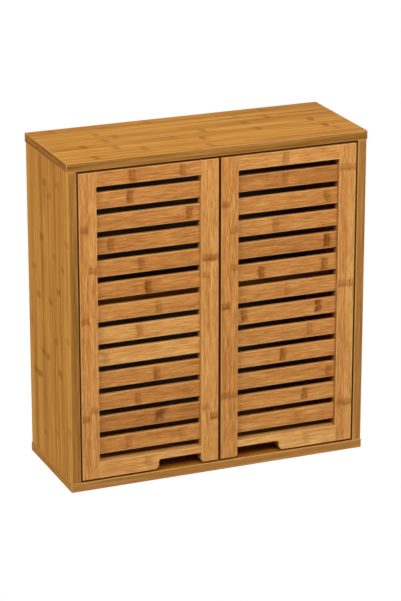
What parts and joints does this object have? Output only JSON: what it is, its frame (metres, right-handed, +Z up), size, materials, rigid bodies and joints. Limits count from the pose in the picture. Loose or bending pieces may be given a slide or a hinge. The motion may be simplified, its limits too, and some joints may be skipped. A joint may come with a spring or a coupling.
{
  "type": "wall-mounted bathroom cabinet",
  "caption": "Wall-hung bathroom cabinet of laminated bamboo with slatted doors on hidden pivots, finger notches, a shelf and a hanging rail for wall screws.",
  "frame": {"origin": "on the wall plane, midway between the two wall-screw holes", "axes": "+X to the right seen from the front, +Y from the door fronts to the wall, +Z up"},
  "size_m": [0.52, 0.2, 0.555],
  "materials": {
    "bamboo_board": "satin lacquered laminated bamboo",
    "bamboo_frame": "satin lacquered bamboo",
    "bamboo_slat": "satin lacquered bamboo",
    "back_sheet": "dark brown hardboard",
    "dowel_wood": "bare hardwood",
    "steel": "zinc plated steel",
    "zinc": "die-cast zinc",
    "plastic": "brown moulded nylon",
    "magnet": "sintered ferrite"
  },
  "bodies": {
    "carcass": {"top_panel": "bamboo_board", "bottom_panel": "bamboo_board", "left_side_panel": "bamboo_board", "right_side_panel": "bamboo_board", "hanging_rail": "bamboo_board", "shelf": "bamboo_board", "back_panel": "back_sheet", "corner_dowels": "dowel_wood", "rail_dowels": "dowel_wood", "cam_bolts": "steel", "cam_locks": "zinc", "shelf_supports": "steel", "back_screws": "steel", "pivot_bushes": "plastic", "catch_housing": "plastic", "catch_magnets": "magnet", "catch_screws": "steel"},
    "left_door": {"left_hinge_stile": "bamboo_frame", "left_meeting_stile": "bamboo_frame", "left_top_rail": "bamboo_frame", "left_bottom_rail": "bamboo_frame", "left_slat_01": "bamboo_slat", "left_slat_02": "bamboo_slat", "left_slat_03": "bamboo_slat", "left_slat_04": "bamboo_slat", "left_slat_05": "bamboo_slat", "left_slat_06": "bamboo_slat", "left_slat_07": "bamboo_slat", "left_slat_08": "bamboo_slat", "left_slat_09": "bamboo_slat", "left_slat_10": "bamboo_slat", "left_slat_11": "bamboo_slat", "left_slat_12": "bamboo_slat", "left_top_pivot_pin": "steel", "left_bottom_pivot_pin": "steel", "left_strike_plate": "steel", "left_strike_screw": "steel"},
    "right_door": {"right_hinge_stile": "bamboo_frame", "right_meeting_stile": "bamboo_frame", "right_top_rail": "bamboo_frame", "right_bottom_rail": "bamboo_frame", "right_slat_01": "bamboo_slat", "right_slat_02": "bamboo_slat", "right_slat_03": "bamboo_slat", "right_slat_04": "bamboo_slat", "right_slat_05": "bamboo_slat", "right_slat_06": "bamboo_slat", "right_slat_07": "bamboo_slat", "right_slat_08": "bamboo_slat", "right_slat_09": "bamboo_slat", "right_slat_10": "bamboo_slat", "right_slat_11": "bamboo_slat", "right_slat_12": "bamboo_slat", "right_top_pivot_pin": "steel", "right_bottom_pivot_pin": "steel", "right_strike_plate": "steel", "right_strike_screw": "steel"}
  },
  "joints": [
    {"name": "left_door_swing", "type": "hinge", "parent": "carcass", "child": "left_door", "pos_m": [-0.2275, -0.1925, -0.2325], "axis": [0, 0, -1], "range_deg": [0, 120]},
    {"name": "right_door_swing", "type": "hinge", "parent": "carcass", "child": "right_door", "pos_m": [0.2275, -0.1925, -0.2325], "axis": [0, 0, 1], "range_deg": [0, 120]}
  ]
}
